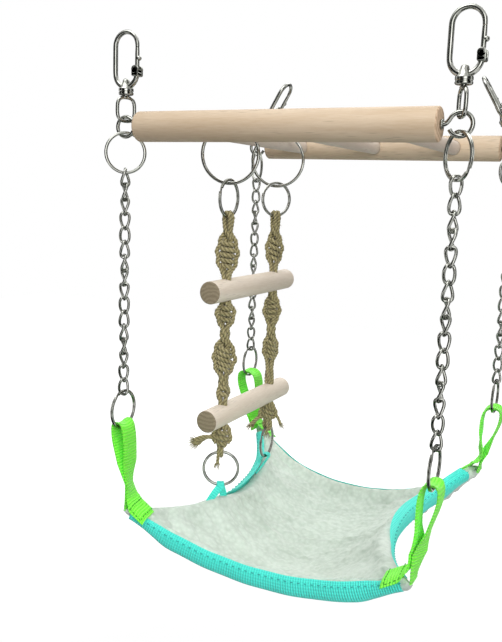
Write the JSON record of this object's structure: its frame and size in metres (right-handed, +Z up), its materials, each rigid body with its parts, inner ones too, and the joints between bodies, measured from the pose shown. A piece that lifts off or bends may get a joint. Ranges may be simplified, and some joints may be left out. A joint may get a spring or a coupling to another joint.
{
  "type": "hanging pet bridge with hammock",
  "caption": "Wooden ladder bridge hung by swivel snap hooks, with a chain-hung fleece hammock below it and a knotted rope ladder between them, for small pets in a cage.",
  "frame": {"origin": "midway between the four snap hooks, at the height where the two upright hooks bear on the bars that hold them", "axes": "+X along the rails to the right, +Y from the front rail to the back rail, +Z up"},
  "size_m": [0.2227, 0.206, 0.3437],
  "materials": {
    "rail_wood": "bare sanded beech, fine short flecks",
    "rung_wood": "bare sanded beech, pinkish",
    "nickel_steel": "nickel-plated round wire, bright",
    "jute_rope": "knotted jute cord, hairy",
    "green_webbing": "ribbed polyester webbing, bright green",
    "cyan_tape": "ribbed edge tape, turquoise",
    "fleece": "off-white teddy fleece, short curly pile"
  },
  "bodies": {
    "bridge": {"rail_front": "rail_wood", "rail_back": "rail_wood", "bridge_rung_1": "rung_wood", "bridge_rung_2": "rung_wood", "bridge_rung_3": "rung_wood", "screw_eye_front_left": "nickel_steel", "screw_eye_front_right": "nickel_steel", "screw_eye_back_left": "nickel_steel", "screw_eye_back_right": "nickel_steel", "swivel_eye_front_left": "nickel_steel", "swivel_eye_front_right": "nickel_steel", "swivel_eye_back_left": "nickel_steel", "swivel_eye_back_right": "nickel_steel"},
    "hook_front_left": {"snap_hook_front_left": "nickel_steel"},
    "gate_front_left": {"hook_gate_front_left": "nickel_steel"},
    "chain_front_left": {"corner_ring_front_left": "nickel_steel", "chain_front_left": "nickel_steel", "strap_ring_front_left": "nickel_steel"},
    "hook_front_right": {"snap_hook_front_right": "nickel_steel"},
    "gate_front_right": {"hook_gate_front_right": "nickel_steel"},
    "chain_front_right": {"corner_ring_front_right": "nickel_steel", "chain_front_right": "nickel_steel", "strap_ring_front_right": "nickel_steel"},
    "hook_back_left": {"snap_hook_back_left": "nickel_steel"},
    "gate_back_left": {"hook_gate_back_left": "nickel_steel"},
    "chain_back_left": {"corner_ring_back_left": "nickel_steel", "chain_back_left": "nickel_steel", "strap_ring_back_left": "nickel_steel"},
    "hook_back_right": {"snap_hook_back_right": "nickel_steel"},
    "gate_back_right": {"hook_gate_back_right": "nickel_steel"},
    "chain_back_right": {"corner_ring_back_right": "nickel_steel", "chain_back_right": "nickel_steel", "strap_ring_back_right": "nickel_steel"},
    "hammock": {"hammock_fleece": "fleece", "edge_tape_front": "cyan_tape", "edge_tape_back": "cyan_tape", "edge_tape_left": "cyan_tape", "edge_tape_right": "cyan_tape", "corner_strap_front_left": "green_webbing", "corner_strap_front_right": "green_webbing", "corner_strap_back_left": "green_webbing", "corner_strap_back_right": "green_webbing", "ladder_loop_front": "cyan_tape", "ladder_loop_back": "cyan_tape"},
    "ladder": {"ladder_rung_upper": "rung_wood", "ladder_rung_lower": "rung_wood", "ladder_ring_front": "nickel_steel", "rope_ring_front": "nickel_steel", "ladder_rope_front": "jute_rope", "tie_ring_front": "nickel_steel", "ladder_ring_back": "nickel_steel", "rope_ring_back": "nickel_steel", "ladder_rope_back": "jute_rope", "tie_ring_back": "nickel_steel"}
  },
  "joints": [
    {"name": "hammock_swing", "type": "hinge", "parent": "bridge", "child": "chain_front_left", "pos_m": [-0.1015, -0.09, -0.0576], "axis": [0, 1, 0], "range_deg": [-12, 12]},
    {"name": "hammock_level", "type": "hinge", "parent": "chain_front_left", "child": "hammock", "pos_m": [-0.1015, -0.09, -0.24435], "axis": [0, 1, 0], "range_deg": [-12.5, 12.5]},
    {"name": "chain_front_right_swing", "type": "hinge", "parent": "bridge", "child": "chain_front_right", "pos_m": [0.1015, -0.09, -0.0576], "axis": [0, 1, 0], "range_deg": [-12.5, 12.5]},
    {"name": "chain_back_left_swing", "type": "hinge", "parent": "bridge", "child": "chain_back_left", "pos_m": [-0.1015, 0.09, -0.0576], "axis": [0, 1, 0], "range_deg": [-12.5, 12.5]},
    {"name": "chain_back_right_swing", "type": "hinge", "parent": "bridge", "child": "chain_back_right", "pos_m": [0.1015, 0.09, -0.0576], "axis": [0, 1, 0], "range_deg": [-12.5, 12.5]},
    {"name": "ladder_swing", "type": "hinge", "parent": "bridge", "child": "ladder", "pos_m": [-0.059, 0, -0.0541], "axis": [0, 1, 0], "range_deg": [-10, 10]},
    {"name": "swivel_front_left", "type": "hinge", "parent": "bridge", "child": "hook_front_left", "pos_m": [-0.1015, -0.09, -0.0507], "axis": [0, 0, 1], "continuous": true},
    {"name": "gate_front_left", "type": "hinge", "parent": "hook_front_left", "child": "gate_front_left", "pos_m": [-0.0935, -0.09, -0.0206], "axis": [0, -1, 0], "range_deg": [0, 35], "stiffness_Nm_per_rad": 0.02, "springref_deg": -11.46},
    {"name": "swivel_front_right", "type": "hinge", "parent": "bridge", "child": "hook_front_right", "pos_m": [0.1015, -0.09, -0.0507], "axis": [0, 0, 1], "continuous": true},
    {"name": "gate_front_right", "type": "hinge", "parent": "hook_front_right", "child": "gate_front_right", "pos_m": [0.1095, -0.09, -0.0206], "axis": [0, -1, 0], "range_deg": [0, 35], "stiffness_Nm_per_rad": 0.02, "springref_deg": -11.46},
    {"name": "swivel_back_left", "type": "hinge", "parent": "bridge", "child": "hook_back_left", "pos_m": [-0.1015, 0.09, -0.0507], "axis": [0.5, 0, 0.866], "continuous": true},
    {"name": "gate_back_left", "type": "hinge", "parent": "hook_back_left", "child": "gate_back_left", "pos_m": [-0.08645, 0.098, -0.02463], "axis": [0.866, 0, -0.5], "range_deg": [0, 35], "stiffness_Nm_per_rad": 0.02, "springref_deg": -11.46},
    {"name": "swivel_back_right", "type": "hinge", "parent": "bridge", "child": "hook_back_right", "pos_m": [0.1015, 0.09, -0.0507], "axis": [-0.5, 0, 0.866], "continuous": true},
    {"name": "gate_back_right", "type": "hinge", "parent": "hook_back_right", "child": "gate_back_right", "pos_m": [0.08645, 0.098, -0.02463], "axis": [0.866, 0, 0.5], "range_deg": [0, 35], "stiffness_Nm_per_rad": 0.02, "springref_deg": -11.46}
  ],
  "couplings": [
    {"joint": "hammock_level", "follows": "hammock_swing", "ratio": -1},
    {"joint": "chain_front_right_swing", "follows": "hammock_swing", "ratio": 1},
    {"joint": "chain_back_left_swing", "follows": "hammock_swing", "ratio": 1},
    {"joint": "chain_back_right_swing", "follows": "hammock_swing", "ratio": 1},
    {"joint": "ladder_swing", "follows": "hammock_swing", "ratio": 0.7799}
  ]
}
